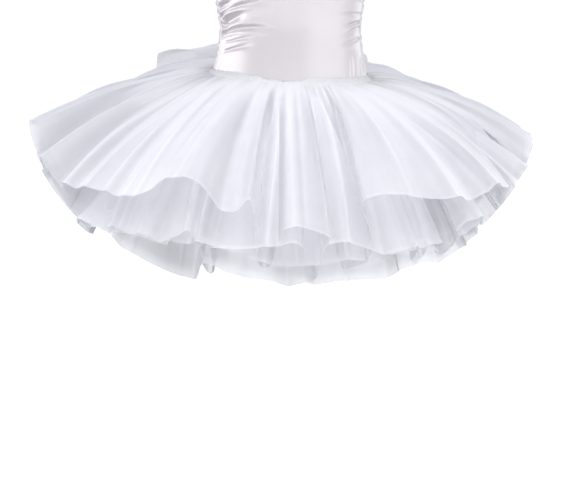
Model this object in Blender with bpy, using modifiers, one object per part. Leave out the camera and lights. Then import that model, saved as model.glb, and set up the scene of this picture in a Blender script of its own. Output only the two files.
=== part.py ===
"""Ballet tutu: a satin camisole bodice with a brief and five gathered net skirts.

Metres, +Z up, the front of the garment towards -Y. The origin is the middle of the waist, at the
narrowest ring of the bodice, where the wearer holds the garment up. Every piece is a cloth wall
in the form that it has when it is worn.
"""
import bisect
from math import asin, atan2, cos, degrees, pi, radians, sin, tan

import bmesh
import bpy
from mathutils import Vector

COLLECTION = "ballet_tutu"

# ---- Driving sizes -------------------------------------------------------------------------
SATIN_WALL = 0.0012        # bodice and brief
NET_WALL = 0.0012          # skirt nets, gathers and thread thickness together
STRAP_WALL = 0.0018        # folded satin
STRAP_WIDTH = 0.011
SEAM_GAP = 0.0003          # between two pieces that are sewn together

SEAM_HEIGHT = -0.079       # drop waist, where bodice, brief and nets meet
HIP_TILT = 0.052           # drop of the hip line for each metre towards +X
SIDE_SEAM = 76.0           # degrees from the centre front
CUT_LENGTH = 0.318         # a full net from its seam to its hem
NET_ROW = 0.0058           # from one row of net stitching to the next
NET_CLEAR = 0.0016         # from the brief out to the inner side of a gathered net
ARCH = 0.016               # how far a net bows up between its seam and its hem
PUFF = 0.010               # extra rise of the gathers close to the seam
PUFF_AT = 0.16             # where that rise is greatest, as a share of the cut length
FOLD_GROWTH = 1.15         # folds deepen with this power of the way down

# ---- Mesh density --------------------------------------------------------------------------
COLUMNS_PER_FOLD = 4
NET_STEPS = (0.0, 0.14, 0.5, 1.0)
PANEL_COLUMNS = 16
PANEL_ROWS = 9
BRIEF_COLUMNS = 12
BRIEF_SIDE_ROWS = 2
BRIEF_LEG_ROWS = 8
STRAP_ROWS = 18

# The general figure inside the cloth: half of its width, and its depth in front and behind.
FIGURE = (
    # height, half_width, front, back
    (-0.200, 0.1540, 0.095, 0.116),
    (-0.160, 0.1530, 0.098, 0.117),
    (-0.120, 0.1430, 0.097, 0.110),
    (-0.079, 0.1280, 0.092, 0.099),
    (-0.040, 0.1195, 0.086, 0.088),
    (0.000, 0.1153, 0.082, 0.082),
    (0.040, 0.1205, 0.086, 0.083),
    (0.080, 0.1275, 0.093, 0.086),
    (0.120, 0.1340, 0.103, 0.090),
    (0.165, 0.1400, 0.116, 0.094),
    (0.210, 0.1410, 0.113, 0.096),
    (0.270, 0.1340, 0.098, 0.092),
)

# Top edge of the bodice, from the centre round to the side seam.
NECK_FRONT = (
    # angle, height
    (0.0, 0.214),
    (18.0, 0.224),
    (37.0, 0.262),
    (54.0, 0.222),
    (SIDE_SEAM, 0.190),
)
NECK_BACK = (
    # angle from the centre back, height
    (0.0, 0.146),
    (22.0, 0.162),
    (42.0, 0.214),
    (64.0, 0.196),
    (180.0 - SIDE_SEAM, 0.190),
)

# The brief below its side seams: the line down its centre, and its leg edge.
BRIEF_FRONT = (
    # centre_y, centre_z, edge_x, edge_y, edge_z
    (-0.0970, -0.1200, 0.1430, 0.0000, -0.1200),
    (-0.0965, -0.1750, 0.1130, -0.0520, -0.1720),
    (-0.0760, -0.2300, 0.0620, -0.0560, -0.2270),
    (-0.0300, -0.2660, 0.0350, -0.0260, -0.2650),
    (0.0000, -0.2720, 0.0330, 0.0000, -0.2710),
)
BRIEF_BACK = (
    # centre_y, centre_z, edge_x, edge_y, edge_z
    (0.1100, -0.1200, 0.1430, 0.0000, -0.1200),
    (0.1175, -0.1750, 0.1370, 0.0520, -0.1780),
    (0.1000, -0.2300, 0.0900, 0.0700, -0.2340),
    (0.0460, -0.2650, 0.0420, 0.0380, -0.2660),
    (0.0000, -0.2720, 0.0330, 0.0000, -0.2710),
)

# A shoulder strap, from the front of the bodice over the shoulder to the back, at +X.
STRAP_ROUTE = (
    # x, y, z
    (0.0846, -0.0838, 0.2640),
    (0.0840, -0.0790, 0.3100),
    (0.0810, -0.0560, 0.3640),
    (0.0780, -0.0120, 0.3940),
    (0.0770, 0.0340, 0.3840),
    (0.0800, 0.0640, 0.3340),
    (0.0900, 0.0740, 0.2730),
    (0.0944, 0.0721, 0.2160),
)

# How far each net drops below level, all the way round from the centre back.
DROOP = (
    # azimuth, reach, net_1, net_2, net_3, net_4, net_5
    (-180.0, 1.00, 0.0, 7.0, 16.0, 28.0, 41.0),
    (-160.0, 1.00, 0.5, 8.0, 17.0, 29.0, 42.0),
    (-147.0, 1.00, 3.0, 10.0, 19.0, 31.0, 43.0),
    (-136.0, 1.00, 12.0, 18.0, 27.0, 36.0, 45.0),
    (-110.0, 1.00, 18.0, 23.5, 32.0, 41.5, 48.5),
    (-90.0, 1.00, 17.5, 24.0, 33.5, 43.0, 50.0),
    (-78.0, 1.00, 21.0, 30.5, 39.5, 46.5, 52.5),
    (-64.0, 1.00, 30.5, 38.5, 44.0, 49.0, 54.0),
    (-40.0, 1.00, 29.0, 38.0, 43.5, 48.5, 53.5),
    (-21.0, 1.00, 21.5, 38.0, 43.5, 49.0, 54.5),
    (-10.0, 1.00, 28.0, 44.0, 48.5, 52.5, 57.0),
    (0.0, 1.00, 34.0, 50.0, 53.5, 56.5, 60.0),
    (11.0, 1.00, 32.5, 47.0, 51.0, 54.5, 58.0),
    (21.0, 1.00, 22.5, 43.0, 47.5, 52.0, 56.5),
    (40.0, 0.99, 27.0, 38.0, 44.0, 50.0, 55.0),
    (56.0, 0.95, 25.0, 33.0, 40.5, 47.0, 53.0),
    (72.0, 0.92, 20.0, 26.5, 35.5, 44.5, 52.5),
    (92.0, 0.91, 21.0, 27.0, 35.5, 44.0, 51.0),
    (116.0, 0.91, 21.0, 26.5, 34.0, 42.0, 49.5),
    (136.0, 0.93, 16.0, 22.0, 30.0, 38.5, 46.5),
    (150.0, 0.96, 10.0, 16.0, 24.5, 34.5, 44.0),
    (163.0, 1.00, 2.0, 9.0, 18.0, 30.0, 42.0),
    (180.0, 1.00, 0.0, 7.0, 16.0, 28.0, 41.0),
)

# The large folds of a net: each row is the valley where one fold ends and the next begins.
FOLDS = (
    # azimuth, rise
    (-168.0, 0.032),
    (-148.0, 0.030),
    (-128.0, 0.034),
    (-106.0, 0.038),
    (-80.0, 0.024),
    (-66.0, 0.026),
    (-50.0, 0.030),
    (-32.0, 0.038),
    (-11.0, 0.026),
    (-3.0, 0.028),
    (5.0, 0.026),
    (13.0, 0.036),
    (32.0, 0.030),
    (50.0, 0.032),
    (70.0, 0.036),
    (92.0, 0.036),
    (114.0, 0.038),
    (138.0, 0.030),
    (156.0, 0.030),
    (174.0, 0.030),
)
FOLD_SINK = 0.016          # the valleys lie this far under a net's middle surface at the hem

# The nets from the top one down.
NETS = (
    # name, droop_column, length, turn, fold_share
    ("net_1", 2, 1.00, 0.0, 1.00),
    ("net_2", 3, 1.00, 3.5, 0.80),
    ("net_3", 4, 0.98, -4.0, 0.36),
    ("net_4", 5, 0.86, 2.0, 0.28),
    ("net_5", 6, 0.97, -2.0, 0.30),
)

# Finishes.
FINISHES = {
    # name: (colour, roughness)
    "satin_white": ((0.86, 0.85, 0.87), 0.32),
    "net_white": ((0.88, 0.89, 0.94), 0.80),
}


def between(table, value, column):
    """One column of a table at a value of its first column, eased from row to row."""
    keys = [row[0] for row in table]
    upper = min(max(bisect.bisect_right(keys, value), 1), len(table) - 1)
    low = table[upper - 1]
    high = table[upper]
    share = min(max((value - low[0]) / (high[0] - low[0]), 0.0), 1.0)
    share = share * share * (3.0 - 2.0 * share)
    return low[column] + (high[column] - low[column]) * share


def smooth_row(rows, share):
    """The row at a share of the way down a list of rows, on a smooth curve through all of them."""
    place = share * (len(rows) - 1)
    index = min(int(place), len(rows) - 2)
    step = place - index
    before = rows[max(index - 1, 0)]
    first = rows[index]
    second = rows[index + 1]
    after = rows[min(index + 2, len(rows) - 1)]
    result = []
    for a, b, c, d in zip(before, first, second, after):
        slope_in = (c - a) / 2.0
        slope_out = (d - b) / 2.0
        cube = 2.0 * b - 2.0 * c + slope_in + slope_out
        square = 3.0 * c - 3.0 * b - 2.0 * slope_in - slope_out
        result.append(((cube * step + square) * step + slope_in) * step + b)
    return result


def figure_at(height):
    """Half width, front depth and back depth of the figure, on a smooth curve through FIGURE."""
    keys = [row[0] for row in FIGURE]
    index = min(max(bisect.bisect_right(keys, height), 1), len(FIGURE) - 1) - 1
    span = FIGURE[index + 1][0] - FIGURE[index][0]
    share = (index + (height - FIGURE[index][0]) / span) / (len(FIGURE) - 1)
    return smooth_row(FIGURE, min(max(share, 0.0), 1.0))[1:]


def hip_drop(point):
    """Tilt the hips: below the waist, lower each point by its distance towards +X."""
    share = min(max(point.z / SEAM_HEIGHT, 0.0), 1.0)
    share = share * share * (3.0 - 2.0 * share)
    return Vector((point.x, point.y, point.z - HIP_TILT * point.x * share))


def on_figure(angle, height, outward=0.0):
    """A point on the figure: angle 0 is the centre front, 90 the +X side and 180 the back."""
    half_width, front, back = figure_at(height)
    turn = radians(angle)
    depth = front if cos(turn) > 0.0 else back
    x = (half_width + outward) * sin(turn)
    y = -(depth + outward) * cos(turn)
    return hip_drop(Vector((x, y, height)))


def net_point(net, azimuth, way):
    """A point of a net: azimuth round the body in degrees, way from 0 at the seam to 1 at the hem."""
    name, column, length, turned, fold_share = net
    level = [row[0] for row in NETS].index(name)
    height = SEAM_HEIGHT - 0.002 - NET_ROW * level
    half_width, front, back = figure_at(height)
    turn = radians(azimuth)
    depth = front if cos(turn) > 0.0 else back
    round_body = degrees(atan2(half_width * sin(turn), depth * cos(turn)))
    outward = SATIN_WALL + NET_CLEAR
    root = on_figure(round_body, height, outward)

    droop = radians(between(DROOP, azimuth, column))
    run = CUT_LENGTH * length * between(DROOP, azimuth, 1) * way
    swell = ARCH * 4.0 * way * (1.0 - way)
    early = way / PUFF_AT
    swell += PUFF * early * 2.718281828 ** (1.0 - early)
    lift = swell + (fold_rise(azimuth - turned) - FOLD_SINK) * fold_share * way ** FOLD_GROWTH
    out = run * cos(droop) + lift * sin(droop)
    up = -run * sin(droop) + lift * cos(droop)
    return root + Vector((out * sin(turn), -out * cos(turn), up))


def fold_rise(azimuth):
    """Rise of the large folds at the hem: nothing in a valley, and the most half way to the next."""
    first = FOLDS[0][0]
    azimuth = (azimuth - first) % 360.0 + first
    valleys = [row[0] for row in FOLDS] + [first + 360.0]
    index = min(bisect.bisect_right(valleys, azimuth), len(FOLDS)) - 1
    share = (azimuth - valleys[index]) / (valleys[index + 1] - valleys[index])
    return FOLDS[index][1] * (0.5 - 0.5 * cos(2.0 * pi * share))


def net_azimuths(turned):
    """Azimuths of a net's columns: the valley, the flanks and the crest of each fold."""
    valleys = [row[0] for row in FOLDS] + [FOLDS[0][0] + 360.0]
    azimuths = []
    for start, end in zip(valleys, valleys[1:]):
        for step in range(COLUMNS_PER_FOLD):
            azimuth = start + (end - start) * step / COLUMNS_PER_FOLD + turned
            azimuths.append((azimuth + 180.0) % 360.0 - 180.0)
    return azimuths


def finish(name):
    """The Principled material of that name, made once."""
    material = bpy.data.materials.get(name)
    if material is None:
        colour, roughness = FINISHES[name]
        material = bpy.data.materials.new(name)
        material.use_nodes = True
        shader = material.node_tree.nodes["Principled BSDF"]
        shader.inputs["Base Color"].default_value = (*colour, 1.0)
        shader.inputs["Roughness"].default_value = roughness
        shader.inputs["Metallic"].default_value = 0.0
        material.diffuse_color = (*colour, 1.0)
    return material


def cloth(name, rows, wall, material, closed=False):
    """A cloth wall: rows of points, outer side to the right of each row, made thick inwards."""
    mesh = bpy.data.meshes.new(name)
    draft = bmesh.new()
    grid = [[draft.verts.new(point) for point in row] for row in rows]
    columns = len(rows[0])
    for low, high in zip(grid, grid[1:]):
        for column in range(columns if closed else columns - 1):
            following = (column + 1) % columns
            draft.faces.new((low[column], low[following], high[following], high[column]))
    draft.to_mesh(mesh)
    draft.free()
    mesh.shade_smooth()
    mesh.materials.append(finish(material))
    piece = bpy.data.objects.new(name, mesh)
    bpy.data.collections[COLLECTION].objects.link(piece)
    thicken = piece.modifiers.new("wall", "SOLIDIFY")
    thicken.thickness = wall
    thicken.offset = 1.0
    thicken.use_even_offset = False
    return piece


def bodice_panel(name, neck, facing):
    """Front (facing 0) or back (facing 180) of the bodice, between its side seams."""
    edge = neck[-1][0]
    edge -= degrees(asin(SEAM_GAP / 2.0 / figure_at(0.0)[0]))
    rows = []
    for row in range(PANEL_ROWS):
        share = row / (PANEL_ROWS - 1)
        points = []
        for column in range(PANEL_COLUMNS + 1):
            angle = edge * (2.0 * column / PANEL_COLUMNS - 1.0)
            top = between(neck, abs(angle), 1)
            height = SEAM_HEIGHT + (top - SEAM_HEIGHT) * share
            points.append(on_figure(angle + facing, height))
        rows.append(points)
    return cloth(name, rows, SATIN_WALL, "satin_white")


def brief_panel(name, table, side):
    """Front (side 1) or back (side -1) of the brief, from the seam to between the legs."""
    edge_angle = 90.0 - degrees(SEAM_GAP / 2.0 / figure_at(SEAM_HEIGHT)[0])
    facing = 0.0 if side > 0 else 180.0
    leg_height = table[0][1]
    rows = []
    for row in range(BRIEF_SIDE_ROWS):
        share = row / BRIEF_SIDE_ROWS
        height = SEAM_HEIGHT - 2.0 * SEAM_GAP
        height += (leg_height - height) * share
        angles = [edge_angle * (1.0 - 2.0 * column / BRIEF_COLUMNS) for column in range(BRIEF_COLUMNS + 1)]
        rows.append([on_figure(facing + angle, height) for angle in angles])
    for row in range(BRIEF_LEG_ROWS):
        centre_y, centre_z, edge_x, edge_y, edge_z = smooth_row(table, row / (BRIEF_LEG_ROWS - 1))
        points = []
        for column in range(BRIEF_COLUMNS + 1):
            across = side * (1.0 - 2.0 * column / BRIEF_COLUMNS)
            bend = 1.0 - cos(across * pi / 2.0)
            x = edge_x * sin(across * pi / 2.0)
            y = centre_y + (edge_y - centre_y) * bend
            y = side * min(side * y, -SEAM_GAP / 2.0)
            z = centre_z + (edge_z - centre_z) * bend
            points.append(hip_drop(Vector((x, y, z))))
        rows.append(points)
    return cloth(name, rows, SATIN_WALL, "satin_white")


def strap(name, side):
    """A shoulder strap, at +X for side 1 and at -X for side -1."""
    rows = []
    for row in range(STRAP_ROWS):
        share = row / (STRAP_ROWS - 1)
        middle = Vector(smooth_row(STRAP_ROUTE, share))
        ahead = Vector(smooth_row(STRAP_ROUTE, min(share + 0.01, 1.0)))
        behind = Vector(smooth_row(STRAP_ROUTE, max(share - 0.01, 0.0)))
        across = Vector((1.0, 0.0, 0.0))
        across -= (ahead - behind).normalized() * across.dot((ahead - behind).normalized())
        across = across.normalized() * STRAP_WIDTH / 2.0
        points = [middle - across, middle, middle + across]
        points = [Vector((side * point.x, point.y, point.z)) for point in points]
        rows.append(points if side > 0 else points[::-1])
    return cloth(name, rows, STRAP_WALL, "satin_white")


def skirt_net(net):
    """One gathered net, all the way round."""
    azimuths = net_azimuths(net[3])
    rows = [[net_point(net, azimuth, way) for azimuth in azimuths] for way in reversed(NET_STEPS)]
    return cloth(net[0], rows, NET_WALL, "net_white", closed=True)


def clear_scene():
    """Remove what an empty Blender starts with, and make the tutu's collection."""
    for item in list(bpy.data.objects):
        bpy.data.objects.remove(item, do_unlink=True)
    collection = bpy.data.collections.new(COLLECTION)
    bpy.context.scene.collection.children.link(collection)


def main():
    """Build every piece of the tutu."""
    clear_scene()
    bodice_panel("bodice_front", NECK_FRONT, 0.0)
    bodice_panel("bodice_back", NECK_BACK, 180.0)
    strap("strap_right", 1)
    strap("strap_left", -1)
    brief_panel("brief_front", BRIEF_FRONT, 1)
    brief_panel("brief_back", BRIEF_BACK, -1)
    for net in NETS:
        skirt_net(net)


main()
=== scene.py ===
from math import cos, pi, radians, sin

import bpy
import numpy as np
from bpy.props import FloatProperty, FloatVectorProperty, IntProperty, PointerProperty
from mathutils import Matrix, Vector


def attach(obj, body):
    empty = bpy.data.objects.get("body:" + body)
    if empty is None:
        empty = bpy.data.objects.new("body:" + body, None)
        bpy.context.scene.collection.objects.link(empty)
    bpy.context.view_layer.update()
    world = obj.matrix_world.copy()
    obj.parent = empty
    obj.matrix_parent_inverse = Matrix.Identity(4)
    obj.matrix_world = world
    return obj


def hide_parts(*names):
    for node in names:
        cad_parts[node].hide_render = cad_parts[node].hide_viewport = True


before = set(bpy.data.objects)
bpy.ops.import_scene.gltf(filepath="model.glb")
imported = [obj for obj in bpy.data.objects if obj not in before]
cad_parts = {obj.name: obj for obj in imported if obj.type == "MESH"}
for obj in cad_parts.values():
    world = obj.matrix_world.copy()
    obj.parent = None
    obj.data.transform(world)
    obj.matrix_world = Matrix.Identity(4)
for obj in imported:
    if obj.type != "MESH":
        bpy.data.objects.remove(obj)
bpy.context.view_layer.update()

bl_info = {
    "name": "Ballet tutu",
    "version": (1, 0, 0),
    "blender": (4, 5, 0),
    "location": "View3D > Sidebar > Tutu",
    "description": "Makes a ballet tutu: satin bodice, brief and straps, and gathered net skirts",
    "category": "Add Mesh",
}

BODY = "root"

# ---- The general figure and the cut, in metres and degrees ---------------------------------
SATIN_WALL = 0.0012
SATIN_RADIUS = 0.118
SEAM_HEIGHT = -0.079
HIP_TILT = 0.052
SIDE_SEAM = 76.0
SEAM_TUCK = 0.002
NET_ROW = 0.0058
NET_CLEAR = 0.0016
NET_BOW = 0.016
SIDE_COVER = 0.93

FIGURE = (
    # height, half_width, front, back
    (-0.200, 0.1540, 0.095, 0.116),
    (-0.160, 0.1530, 0.098, 0.117),
    (-0.120, 0.1430, 0.097, 0.110),
    (-0.079, 0.1280, 0.092, 0.099),
    (-0.040, 0.1195, 0.086, 0.088),
    (0.000, 0.1153, 0.082, 0.082),
    (0.040, 0.1205, 0.086, 0.083),
    (0.080, 0.1275, 0.093, 0.086),
    (0.120, 0.1340, 0.103, 0.090),
    (0.165, 0.1400, 0.116, 0.094),
    (0.210, 0.1410, 0.113, 0.096),
    (0.270, 0.1340, 0.098, 0.092),
)

NECK_FRONT = (
    # angle, height
    (0.0, 0.214),
    (18.0, 0.224),
    (37.0, 0.262),
    (54.0, 0.222),
    (SIDE_SEAM, 0.190),
)
NECK_BACK = (
    # angle from the centre back, height
    (0.0, 0.146),
    (22.0, 0.162),
    (42.0, 0.214),
    (64.0, 0.196),
    (180.0 - SIDE_SEAM, 0.190),
)

BRIEF_FRONT = (
    # centre_y, centre_z, edge_x, edge_y, edge_z
    (-0.0970, -0.1200, 0.1430, 0.0000, -0.1200),
    (-0.0965, -0.1750, 0.1130, -0.0520, -0.1720),
    (-0.0760, -0.2300, 0.0620, -0.0560, -0.2270),
    (-0.0300, -0.2660, 0.0350, -0.0260, -0.2650),
    (0.0000, -0.2720, 0.0330, 0.0000, -0.2710),
)
BRIEF_BACK = (
    # centre_y, centre_z, edge_x, edge_y, edge_z
    (0.1100, -0.1200, 0.1430, 0.0000, -0.1200),
    (0.1175, -0.1750, 0.1370, 0.0520, -0.1780),
    (0.1000, -0.2300, 0.0900, 0.0700, -0.2340),
    (0.0460, -0.2650, 0.0420, 0.0380, -0.2660),
    (0.0000, -0.2720, 0.0330, 0.0000, -0.2710),
)

STRAP_ROUTE = (
    # x, y, z
    (0.0846, -0.0838, 0.2640),
    (0.0840, -0.0790, 0.3100),
    (0.0810, -0.0560, 0.3640),
    (0.0780, -0.0120, 0.3940),
    (0.0770, 0.0340, 0.3840),
    (0.0800, 0.0640, 0.3340),
    (0.0900, 0.0740, 0.2730),
    (0.0944, 0.0721, 0.2160),
)

# ---- How the nets hang ---------------------------------------------------------------------
# The middle of each net's folds: how far it reaches, and how many degrees it drops below level.
DROOP = (
    # azimuth, reach, net_1, net_2, net_3, net_4, net_5
    (-180.0, 1.00, 0.0, 7.0, 16.0, 28.0, 41.0),
    (-160.0, 1.00, 0.5, 8.0, 17.0, 29.0, 42.0),
    (-151.0, 1.00, 1.2, 9.0, 18.5, 30.5, 42.5),
    (-145.5, 1.00, 8.5, 14.0, 22.5, 33.0, 43.5),
    (-136.0, 1.00, 13.0, 18.5, 27.0, 36.0, 45.0),
    (-110.0, 1.00, 18.0, 23.5, 32.0, 41.5, 48.5),
    (-90.0, 1.00, 17.5, 24.0, 33.5, 43.0, 50.0),
    (-78.0, 1.00, 21.0, 30.5, 39.5, 46.5, 52.5),
    (-64.0, 1.00, 30.5, 38.5, 44.0, 49.0, 54.0),
    (-40.0, 1.00, 29.0, 38.0, 43.5, 48.5, 53.5),
    (-21.0, 1.00, 21.5, 38.0, 43.5, 49.0, 54.5),
    (-10.0, 1.00, 28.0, 44.0, 48.5, 52.5, 57.0),
    (0.0, 1.00, 34.0, 50.0, 53.5, 56.5, 60.0),
    (11.0, 1.00, 32.5, 47.0, 51.0, 54.5, 58.0),
    (21.0, 1.00, 22.5, 43.0, 47.5, 52.0, 56.5),
    (40.0, 0.99, 27.0, 38.0, 44.0, 50.0, 55.0),
    (56.0, 0.95, 25.0, 33.0, 40.5, 47.0, 53.0),
    (72.0, 0.92, 20.0, 26.5, 35.5, 44.5, 52.5),
    (92.0, 0.91, 21.0, 27.0, 35.5, 44.0, 51.0),
    (116.0, 0.91, 21.0, 26.5, 34.0, 42.0, 49.5),
    (136.0, 0.93, 16.0, 22.0, 30.0, 38.5, 46.5),
    (150.0, 0.96, 10.0, 16.0, 24.5, 34.5, 44.0),
    (163.0, 1.00, 2.0, 9.0, 18.0, 30.0, 42.0),
    (180.0, 1.00, 0.0, 7.0, 16.0, 28.0, 41.0),
)

# Recesses between the wide flat folds of the nets. Both lips roll over a recess by some
# degrees at the hem; a growth of 1 starts it at the seam, and a higher one nearer the hem.
TOP_RECESSES = (
    # azimuth, width, depth, roll_left, roll_right, growth
    (-168.0, 5.0, 6.0, 1.0, 0.5, 2.2),
    (-147.5, 4.0, 6.0, 0.5, 1.0, 1.8),
    (-131.0, 6.0, 6.0, 1.0, 2.0, 2.0),
    (-113.0, 6.0, 8.0, 2.0, 1.0, 2.2),
    (119.0, 5.0, 6.0, 1.0, 1.5, 2.0),
    (141.0, 6.0, 7.0, 2.0, 0.5, 2.4),
    (160.0, 5.0, 7.0, 2.0, 0.5, 2.0),
)
SECOND_RECESSES = (
    # azimuth, width, depth, roll_left, roll_right, growth
    (-86.0, 8.0, 6.0, 1.5, 1.0, 2.0),
    (60.0, 6.0, 7.0, 1.0, 1.0, 2.0),
    (84.0, 8.0, 6.0, 1.0, 1.5, 2.0),
)
THIRD_RECESSES = (
    # azimuth, width, depth, roll_left, roll_right, growth
    (-79.0, 9.0, 2.0, 0.3, 0.3, 2.2),
    (-52.0, 7.0, 2.5, 0.5, 0.5, 2.2),
    (-30.0, 5.0, 2.5, 0.0, 0.5, 1.8),
    (-12.0, 10.0, -2.0, 0.0, 0.0, 1.6),
    (20.0, 6.0, 4.0, 0.5, 0.5, 1.8),
    (40.0, 6.0, 8.0, 1.0, 1.0, 2.0),
    (72.0, 9.0, 3.0, 0.5, 0.5, 2.2),
)
FOURTH_RECESSES = (
    # azimuth, width, depth, roll_left, roll_right, growth
    (-66.0, 8.0, 2.0, 0.3, 0.3, 2.2),
    (-41.0, 8.0, 2.0, 0.0, 0.3, 2.2),
    (-18.0, 7.0, 2.0, 0.0, 0.0, 1.8),
    (9.0, 9.0, 2.0, 0.0, 0.0, 1.6),
    (31.0, 6.0, 4.0, 0.5, 0.5, 1.8),
    (58.0, 9.0, 3.0, 0.4, 0.4, 2.0),
)
LOWEST_RECESSES = (
    # azimuth, width, depth, roll_left, roll_right, growth
    (-84.0, 9.0, 1.5, 0.3, 0.3, 2.2),
    (66.0, 9.0, 2.0, 0.4, 0.4, 2.2),
)

# Hems that show at the front, from turn to turn of the cloth.
TOP_FRONT = (
    # seam_azimuth, hem_azimuth, droop, growth
    (-100.0, -99.0, 17.5, 2.2),
    (-92.0, -92.5, 16.4, 2.0),
    (-87.0, -89.0, 20.0, 1.8),
    (-83.5, -86.5, 25.5, 1.9),
    (-81.5, -83.5, 28.5, 1.8),
    (-77.5, -77.0, 29.5, 1.7),
    (-74.5, -71.0, 27.0, 1.7),
    (-72.0, -67.5, 23.6, 1.7),
    (-68.5, -65.5, 26.0, 1.5),
    (-65.0, -63.5, 30.0, 1.5),
    (-62.5, -61.0, 32.5, 1.4),
    (-60.0, -59.2, 31.2, 1.6),
    (-57.0, -56.5, 30.6, 2.0),
    (-50.0, -48.5, 29.3, 1.8),
    (-42.0, -40.0, 28.2, 1.6),
    (-37.0, -35.5, 29.2, 1.6),
    (-32.0, -31.5, 28.0, 1.6),
    (-27.0, -27.0, 24.0, 1.5),
    (-23.0, -23.2, 21.0, 1.5),
    (-19.5, -19.3, 19.4, 1.5),
    (-17.5, -17.0, 20.8, 1.5),
    (-16.0, -15.8, 24.0, 1.4),
    (-14.3, -13.9, 29.5, 1.4),
    (-12.8, -12.4, 30.2, 1.4),
    (-11.0, -9.8, 29.9, 1.4),
    (-9.8, -8.2, 26.0, 1.3),
    (-9.0, -6.8, 23.3, 1.2),
    (-7.8, -7.1, 41.0, 1.15),
    (-6.8, -7.9, 54.0, 1.15),
    (-5.8, -7.1, 57.6, 1.15),
    (-4.8, -5.4, 56.5, 1.15),
    (-3.6, -3.6, 49.5, 1.15),
    (-2.2, -1.4, 35.6, 1.2),
    (0.8, 1.2, 34.5, 1.3),
    (3.4, 4.1, 36.2, 1.3),
    (5.6, 7.4, 38.0, 1.2),
    (6.6, 9.0, 41.0, 1.15),
    (8.2, 12.2, 55.0, 1.1),
    (9.2, 13.6, 57.4, 1.1),
    (11.5, 15.6, 55.6, 1.1),
    (14.0, 18.6, 52.2, 1.1),
    (15.2, 18.7, 47.0, 1.1),
    (17.0, 15.5, 35.0, 1.15),
    (18.6, 12.6, 27.0, 1.2),
    (20.0, 14.4, 24.8, 1.3),
    (21.8, 17.4, 23.7, 1.4),
    (23.6, 20.4, 24.2, 1.6),
    (27.0, 25.5, 25.6, 1.8),
    (34.0, 33.5, 28.2, 2.0),
    (40.0, 40.0, 28.8, 2.2),
    (45.0, 46.5, 27.2, 2.4),
    (51.0, 54.0, 28.8, 2.2),
    (57.0, 60.3, 31.8, 1.8),
    (59.0, 59.0, 34.5, 2.8),
    (62.0, 62.0, 37.5, 3.8),
    (66.0, 71.0, 38.5, 4.2),
    (69.0, 79.5, 36.5, 4.2),
    (71.5, 82.5, 33.2, 3.8),
    (74.0, 77.6, 29.9, 2.6),
    (78.0, 80.5, 26.0, 2.0),
    (83.0, 85.5, 21.5, 1.9),
    (90.0, 93.5, 20.0, 2.2),
    (97.0, 98.0, 21.0, 2.2),
)
SECOND_FRONT = (
    # seam_azimuth, hem_azimuth, droop, growth
    (-78.0, -79.0, 36.0, 2.4),
    (-74.5, -72.0, 41.0, 2.3),
    (-72.5, -73.5, 45.5, 2.3),
    (-69.5, -67.0, 48.5, 2.2),
    (-66.0, -60.0, 47.0, 2.2),
    (-62.0, -55.0, 44.5, 2.0),
    (-55.0, -48.0, 42.7, 1.8),
    (-47.0, -42.3, 41.6, 1.8),
    (-39.0, -35.2, 44.3, 1.8),
    (-34.0, -30.7, 44.8, 1.8),
    (-29.5, -25.4, 41.6, 1.6),
    (-25.0, -19.8, 38.0, 1.4),
    (-23.0, -20.5, 47.0, 1.25),
    (-21.5, -24.0, 60.0, 1.15),
    (-20.0, -24.0, 65.0, 1.15),
    (-18.0, -20.5, 62.0, 1.15),
    (-16.0, -18.2, 50.0, 1.2),
    (-14.0, -17.5, 44.5, 1.3),
    (-8.0, -9.0, 43.3, 1.4),
    (-1.5, -1.8, 41.3, 1.3),
    (0.8, 1.0, 39.6, 1.3),
    (2.0, 2.9, 41.0, 1.2),
    (3.2, 3.4, 60.0, 1.1),
    (4.2, 3.8, 68.0, 1.1),
    (5.6, 5.8, 67.0, 1.1),
    (7.0, 6.2, 45.0, 1.2),
    (8.2, 7.4, 40.0, 1.3),
    (11.5, 10.5, 40.5, 1.4),
    (16.5, 17.0, 43.8, 1.4),
    (20.0, 21.0, 46.6, 1.4),
    (25.0, 28.0, 45.0, 1.4),
    (27.0, 30.5, 46.0, 1.4),
    (28.8, 31.0, 54.0, 1.3),
    (30.6, 33.5, 56.5, 1.3),
    (32.0, 34.5, 50.0, 1.4),
    (33.5, 33.0, 46.5, 1.5),
    (35.5, 37.5, 48.0, 1.6),
    (38.0, 43.0, 54.0, 1.7),
    (40.5, 45.0, 50.0, 1.8),
    (42.0, 39.0, 41.0, 1.8),
    (44.5, 41.0, 36.5, 2.0),
    (48.0, 50.0, 38.0, 2.0),
    (52.0, 57.0, 44.0, 2.2),
    (54.5, 59.0, 42.0, 2.2),
    (57.0, 58.0, 36.0, 2.3),
)
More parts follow.
